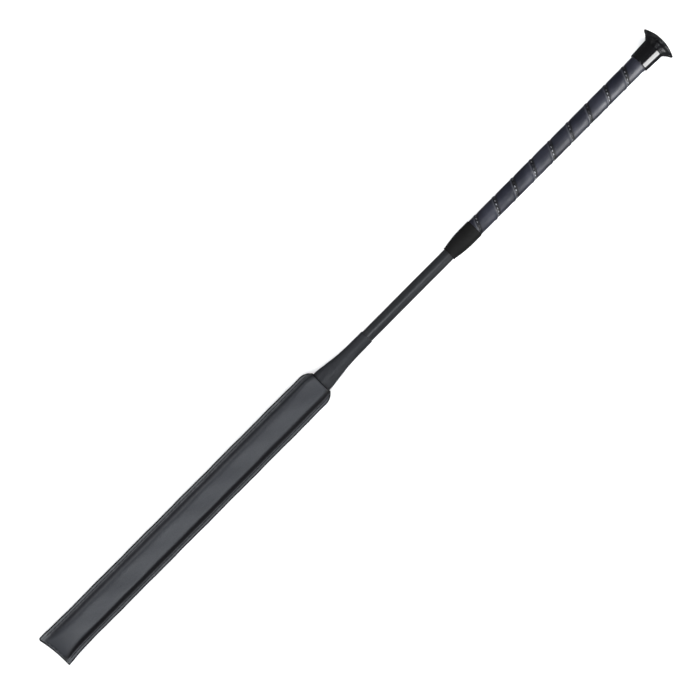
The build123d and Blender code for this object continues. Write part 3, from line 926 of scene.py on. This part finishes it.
spots = []
first_dot = bell_high.x + 0.9 * mm
last_dot = sleeve_low.x + 0.5 * mm
at = bell_high.x + 0.2 * mm - dot_offset * mm
last = sleeve_low.x + 1.5 * mm - dot_offset * mm
while at < last:
    centre = np.array(strip_point(at, dot_offset, dot_rise))
    ahead = np.array(strip_point(at + 0.1 * mm, dot_offset, dot_rise)) - centre
    up = np.array([0, centre[1] - axis_y, centre[2] - axis_z])
    ahead /= np.linalg.norm(ahead)
    up /= np.linalg.norm(up)
    if first_dot < centre[0] < last_dot:
        spots.append((centre, ahead, up))
    at += dot_pitch * strip_pitch / turn_length
pale = finish("pale_thread", {"Sheen Weight": 0.1}, pale_thread)
fit(stitches("grip_dots", spots, dot_radius, dot_length, pale), "thread", "grip_stitching")

# Cap sleeve. A turned ferrule, lacquered gloss black, is pushed over the end of the grip. Its
# mouth is rolled, and it widens slightly towards the head.
sleeve_mouth = 8.05 * mm
sleeve_neck = 8.74 * mm
sleeve_bore = 7.25 * mm


def gloss_lacquer(tree):
    ripple = mottle(tree, 120, detail=2)
    rings = mottle(tree, 30, detail=4, stretch=(90, 1, 1))
    dust = step(tree, mottle(tree, 900, detail=5), 0.62, 0.80)
    return {
        "Base Color": blend(tree, dust, (0.0025, 0.0025, 0.003, 1), (0.007, 0.007, 0.008, 1)),
        "Roughness": 0.10 + 0.07 * rings + 0.12 * dust,
        "Normal": relief(tree, 0.6 * ripple + 0.4 * rings, 0.012 * mm),
    }


def on_sleeve(share):
    """The sleeve's radius, a share of the way from its mouth to its neck."""
    return sleeve_mouth + (sleeve_neck - sleeve_mouth) * share


sleeve_length = sleeve_high.x - sleeve_low.x
sleeve_profile = [
    (sleeve_low.x + 1.2 * mm, sleeve_bore),
    (sleeve_low.x + 0.1 * mm, 7.30 * mm),
    (sleeve_low.x, 7.45 * mm),
    (sleeve_low.x, 7.80 * mm),
    (sleeve_low.x + 0.08 * mm, 7.98 * mm),
    (sleeve_low.x + 0.25 * mm, 8.10 * mm),
    (sleeve_low.x + 0.60 * mm, 8.13 * mm),
    (sleeve_low.x + 0.85 * mm, 8.07 * mm),
]
for share in np.linspace(0.07, 0.965, 24):
    sleeve_profile.append((sleeve_low.x + share * sleeve_length, on_sleeve(share)))
sleeve_profile += [
    (sleeve_high.x - 0.25 * mm, sleeve_neck - 0.03 * mm),
    (sleeve_high.x - 0.08 * mm, sleeve_neck - 0.14 * mm),
    (sleeve_high.x, sleeve_neck - 0.34 * mm),
    (sleeve_high.x, sleeve_bore),
]
lacquer = finish("gloss_lacquer", {"Coat Weight": 0.5, "Coat Roughness": 0.05}, gloss_lacquer)
sleeve = seated("cap_ferrule", *band(turn(sleeve_profile, 128), loop=True), lacquer)
fit(sleeve, "cap_sleeve", "cap_sleeve")

# Cap head. A mushroom moulded in black, with rounded steps under a thin flared rim and a low dome.
# Its spigot is glued into the handle tube, and a fine open joint parts it from the ferrule.
head_low, head_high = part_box("cap_head")
head_x = sleeve_high.x + 0.05 * mm
spigot_radius = 3.5 * mm
spigot_end = head_x - 2.2 * mm
dome_x = head_x + 5.82 * mm
dome_edge = 14.5 * mm
dome_rise = head_high.x - dome_x
dome_curve = (dome_edge**2 + dome_rise**2) / (2 * dome_rise)
under_head = [
    (0.0, 8.20), (0.22, 8.22), (0.30, 8.75), (0.45, 9.10), (0.75, 9.35), (1.02, 9.40),
    (1.16, 9.28), (1.24, 9.30), (1.34, 9.75), (1.55, 10.2), (1.85, 10.5), (2.12, 10.55),
    (2.26, 10.42), (2.34, 10.46), (2.46, 10.95), (2.70, 11.45), (3.00, 11.8), (3.28, 11.88),
    (3.42, 11.78), (3.50, 11.84), (3.66, 12.4), (3.92, 13.2), (4.20, 13.85), (4.50, 14.4),
    (4.82, 14.8), (5.12, 15.02), (5.40, 15.09), (5.60, 15.02), (5.74, 14.86), (5.80, 14.7),
]  # fmt: skip


def cap_moulding(tree):
    rings = mottle(tree, 14, detail=3, stretch=(60, 1, 1))
    wear = step(tree, mottle(tree, 260, detail=5), 0.55, 0.78)
    return {
        "Base Color": blend(tree, wear, (0.003, 0.003, 0.0035, 1), (0.011, 0.011, 0.012, 1)),
        "Roughness": 0.17 + 0.09 * rings + 0.14 * wear,
        "Normal": relief(tree, 0.5 * rings + 0.5 * wear, 0.02 * mm),
    }


head_profile = [
    (head_low.x, 2.9 * mm),
    (head_low.x + 0.6 * mm, spigot_radius),
    (spigot_end, spigot_radius),
    (spigot_end, 7.15 * mm),
    (head_x, 7.18 * mm),
]
head_profile += [(head_x + x * mm, r * mm) for x, r in under_head]
for share in np.linspace(0.995, 0.0, 40)[:-1]:
    radius = dome_edge * math.sin(share * math.pi / 2)
    sag = dome_curve - math.sqrt(dome_curve**2 - radius**2)
    head_profile.append((head_high.x - sag, radius))
head = seated(
    "mushroom_head",
    *band(turn(head_profile, 160)),
    finish("cap_moulding", {"Coat Weight": 0.25, "Coat Roughness": 0.12}, cap_moulding),
)
fit(head, "cap_head", "cap_head")

# Studio. The crop lies on a plain pale floor, touching it at the rim of the cap and near the tip of
# the pad, under large soft lights. The camera looks straight down on it.
rim_x = head_high.x - 5 * mm
ramp_end = tip_x + tip_margin + tip_ramp
lowest_crown = pad_low.z - (pad_high.z - pad_low.z)
floor_tilt = math.atan2(lowest_crown, rim_x - ramp_end)
floor_drop = 0.3 * mm
floor_reach = 6.0
floor_mesh = bpy.data.meshes.new("studio_floor")
floor_mesh.from_pydata(
    [(x * floor_reach, y * floor_reach, 0) for x, y in ((-1, -1), (1, -1), (1, 1), (-1, 1))],
    [],
    [(0, 1, 2, 3)],
)
floor = bpy.data.objects.new("studio_floor", floor_mesh)
floor.location = (rim_x, 0, -floor_drop)
floor.rotation_euler = (0, floor_tilt, 0)


def pale_floor(tree):
    tooth = mottle(tree, 30, detail=2)
    return {
        "Base Color": blend(tree, tooth, (0.86, 0.86, 0.86, 1), (0.88, 0.88, 0.88, 1)),
        "Roughness": 0.85 + 0.05 * tooth,
    }


floor_mesh.materials.append(finish("pale_floor", {"Specular IOR Level": 0.1}, pale_floor))
bpy.context.scene.collection.objects.link(floor)
floor.visible_glossy = False

world = bpy.data.worlds.new("studio")
world.use_nodes = True
background = world.node_tree.nodes["Background"]
background.inputs["Color"].default_value = (0.95, 0.97, 1.0, 1)
background.inputs["Strength"].default_value = 0.09
bpy.context.scene.world = world


def softbox(name, stand, aim, size, power, colour=(1, 1, 1)):
    """A rectangular soft light that stands in one place and faces an aim."""
    lamp = bpy.data.lights.new(name, "AREA")
    lamp.shape = "RECTANGLE"
    lamp.size, lamp.size_y = size
    lamp.energy = power
    lamp.color = colour
    holder = bpy.data.objects.new(name, lamp)
    holder.location = stand
    toward = Vector(aim) - Vector(stand)
    holder.rotation_euler = toward.to_track_quat("-Z", "Y").to_euler()
    holder.visible_camera = False
    bpy.context.scene.collection.objects.link(holder)
    return holder


sky = softbox("sky", (0, 0, 2.6), (0, 0, 0), (8.0, 8.0), 320)
sky.visible_glossy = False
softbox("key", (-0.82, -0.19, 1.5), (-0.82, -0.19, 0), (1.95, 0.60), 18.5, (0.92, 0.96, 1.0))
softbox("pad_side", (-0.24, 0.50, 0.30), (-0.20, 0, 0.01), (0.30, 0.30), 1.0, (0.97, 0.98, 1.0))
softbox("grip_side", (0.50, -0.42, 0.21), (0.50, 0, 0.015), (0.40, 0.42), 6.0)
softbox("grip_low", (0.205, -0.42, 0.21), (0.205, 0, 0.015), (0.17, 0.42), 0.35)

lens = 150.0
sensor = 36.0
view_width = 0.526
camera_height = view_width * lens / sensor
roll = math.radians(45.16)
shift_right, shift_up = -0.01010 * view_width, -0.00507 * view_width
camera = bpy.data.objects.new("camera", bpy.data.cameras.new("camera"))
camera.data.lens = lens
camera.data.sensor_width = sensor
camera.data.clip_end = 20
camera.rotation_euler = (0, 0, -roll)
camera.location = (
    shift_right * math.cos(roll) + shift_up * math.sin(roll),
    axis_y - shift_right * math.sin(roll) + shift_up * math.cos(roll),
    axis_z + camera_height,
)
bpy.context.scene.collection.objects.link(camera)
bpy.context.scene.camera = camera
bpy.context.scene.view_settings.view_transform = "Standard"
